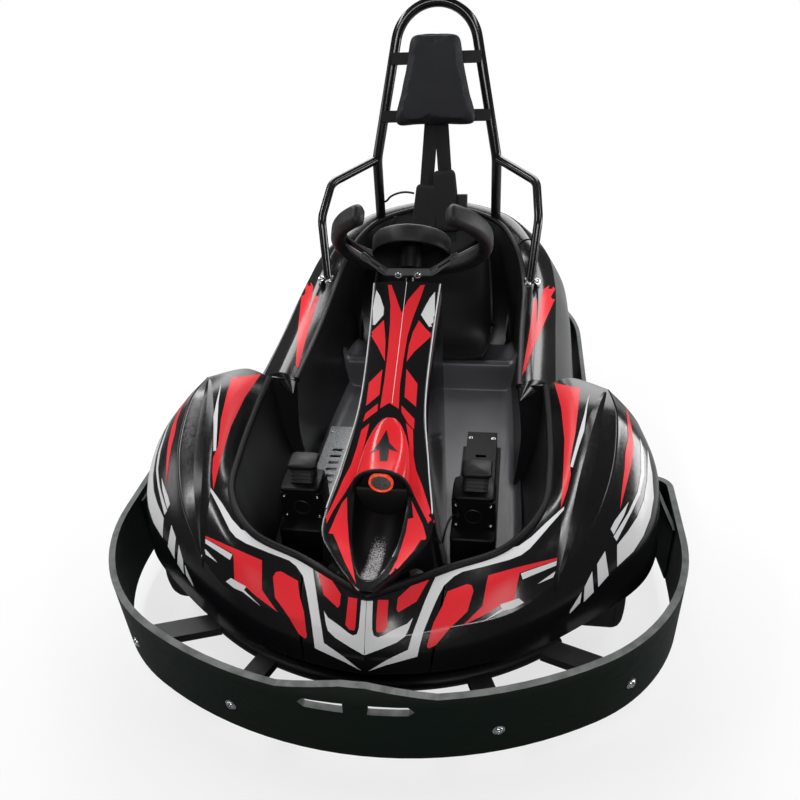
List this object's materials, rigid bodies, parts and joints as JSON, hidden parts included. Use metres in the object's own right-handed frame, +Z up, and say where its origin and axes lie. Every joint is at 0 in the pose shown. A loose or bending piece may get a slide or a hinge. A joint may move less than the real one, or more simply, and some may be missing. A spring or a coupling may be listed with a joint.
{
  "type": "electric go-kart",
  "caption": "Indoor electric go-kart: moulded tub body, wraparound bumper bands, roll hoop with headrest, yoke steering wheel, floor pedals",
  "frame": {"origin": "on the floor under the middle of the bumper bands", "axes": "the nose points to -Y, +X is the driver's left, +Z is up"},
  "size_m": [1.3, 1.888, 1.1788],
  "materials": {
    "black_steel": "gloss black powder coat",
    "bumper_plastic": "dark green-black polyethylene, scuffed satin",
    "satin_plastic": "moulded black plastic, satin",
    "gloss_panel": "gloss black with red and pale vinyl shapes",
    "red_panel": "gloss red",
    "button_plastic": "black button with a red ring",
    "soft_cover": "matte black foam cover",
    "webbing": "black woven webbing",
    "bare_steel": "plain steel, lightly brushed",
    "cable_rubber": "black cable sheath",
    "case_plastic": "grey battery case",
    "motor_paint": "grey cast housing",
    "rim_alloy": "cast alloy",
    "tyre_rubber": "slick kart tyre"
  },
  "bodies": {
    "chassis": {"main_rails": "black_steel", "cross_tubes": "black_steel", "kingpin_yokes": "black_steel", "bumper_carrier": "black_steel", "roll_hoop": "black_steel", "arm_guards": "black_steel", "headrest_plates": "black_steel", "steering_box": "black_steel", "front_bumper": "bumper_plastic", "rear_bumper": "bumper_plastic", "floor_pan": "satin_plastic", "cockpit_walls": "satin_plastic", "front_bulkhead": "satin_plastic", "seat_bulkhead": "satin_plastic", "steering_console": "satin_plastic", "seat": "satin_plastic", "brake_rail": "satin_plastic", "accelerator_pedal": "satin_plastic", "brake_pedal": "satin_plastic", "front_fender_left": "gloss_panel", "front_fender_right": "gloss_panel", "nose_panel": "gloss_panel", "side_pod_left": "gloss_panel", "side_pod_right": "gloss_panel", "rear_cowl": "gloss_panel", "button_scoop": "red_panel", "start_button": "button_plastic", "headrest_pad": "soft_cover", "harness": "webbing", "accelerator_rail": "bare_steel", "axle_bearings": "bare_steel", "pedal_cable": "cable_rubber", "belt_cable": "cable_rubber", "battery_packs": "case_plastic", "drive_motor": "motor_paint"},
    "steering": {"steering_column": "black_steel", "steering_spokes": "bare_steel", "steering_rim": "satin_plastic", "steering_pad": "satin_plastic"},
    "drop_arm": {"drop_arm": "bare_steel"},
    "knuckle_left": {"knuckle_left": "bare_steel"},
    "knuckle_right": {"knuckle_right": "bare_steel"},
    "tie_rod_left": {"tie_rod_left": "bare_steel"},
    "tie_rod_right": {"tie_rod_right": "bare_steel"},
    "front_wheel_left": {"front_rim_left": "rim_alloy", "front_tyre_left": "tyre_rubber"},
    "front_wheel_right": {"front_rim_right": "rim_alloy", "front_tyre_right": "tyre_rubber"},
    "rear_axle": {"rear_axle": "bare_steel", "rear_rims": "rim_alloy", "rear_tyres": "tyre_rubber"}
  },
  "joints": [
    {"name": "steering_turn", "type": "hinge", "parent": "chassis", "child": "steering", "pos_m": [0, 0.064, 0.697], "axis": [0, 0.6947, 0.7193], "range_deg": [-50, 50]},
    {"name": "drop_arm_turn", "type": "hinge", "parent": "chassis", "child": "drop_arm", "pos_m": [0, -0.47196, 0.05], "axis": [0, 0, 1], "range_deg": [-22.5, 22.5]},
    {"name": "knuckle_left_turn", "type": "hinge", "parent": "chassis", "child": "knuckle_left", "pos_m": [0.375, -0.48, 0.13], "axis": [0, 0, 1], "range_deg": [-22.5, 22.5]},
    {"name": "knuckle_right_turn", "type": "hinge", "parent": "chassis", "child": "knuckle_right", "pos_m": [-0.375, -0.48, 0.13], "axis": [0, 0, 1], "range_deg": [-22.5, 22.5]},
    {"name": "tie_rod_left_turn", "type": "hinge", "parent": "drop_arm", "child": "tie_rod_left", "pos_m": [0.014, -0.56196, 0.047], "axis": [0, 0, 1], "range_deg": [-22.5, 22.5]},
    {"name": "tie_rod_right_turn", "type": "hinge", "parent": "drop_arm", "child": "tie_rod_right", "pos_m": [-0.014, -0.56196, 0.047], "axis": [0, 0, 1], "range_deg": [-22.5, 22.5]},
    {"name": "front_left_spin", "type": "hinge", "parent": "knuckle_left", "child": "front_wheel_left", "pos_m": [0.468, -0.48, 0.13], "axis": [1, 0, 0], "continuous": true},
    {"name": "front_right_spin", "type": "hinge", "parent": "knuckle_right", "child": "front_wheel_right", "pos_m": [-0.468, -0.48, 0.13], "axis": [1, 0, 0], "continuous": true},
    {"name": "rear_axle_spin", "type": "hinge", "parent": "chassis", "child": "rear_axle", "pos_m": [0, 0.56, 0.13], "axis": [1, 0, 0], "continuous": true}
  ],
  "couplings": [
    {"joint": "drop_arm_turn", "follows": "steering_turn", "ratio": 0.45},
    {"joint": "knuckle_left_turn", "follows": "steering_turn", "ratio": 0.45},
    {"joint": "knuckle_right_turn", "follows": "steering_turn", "ratio": 0.45},
    {"joint": "tie_rod_left_turn", "follows": "steering_turn", "ratio": -0.45},
    {"joint": "tie_rod_right_turn", "follows": "steering_turn", "ratio": -0.45}
  ]
}
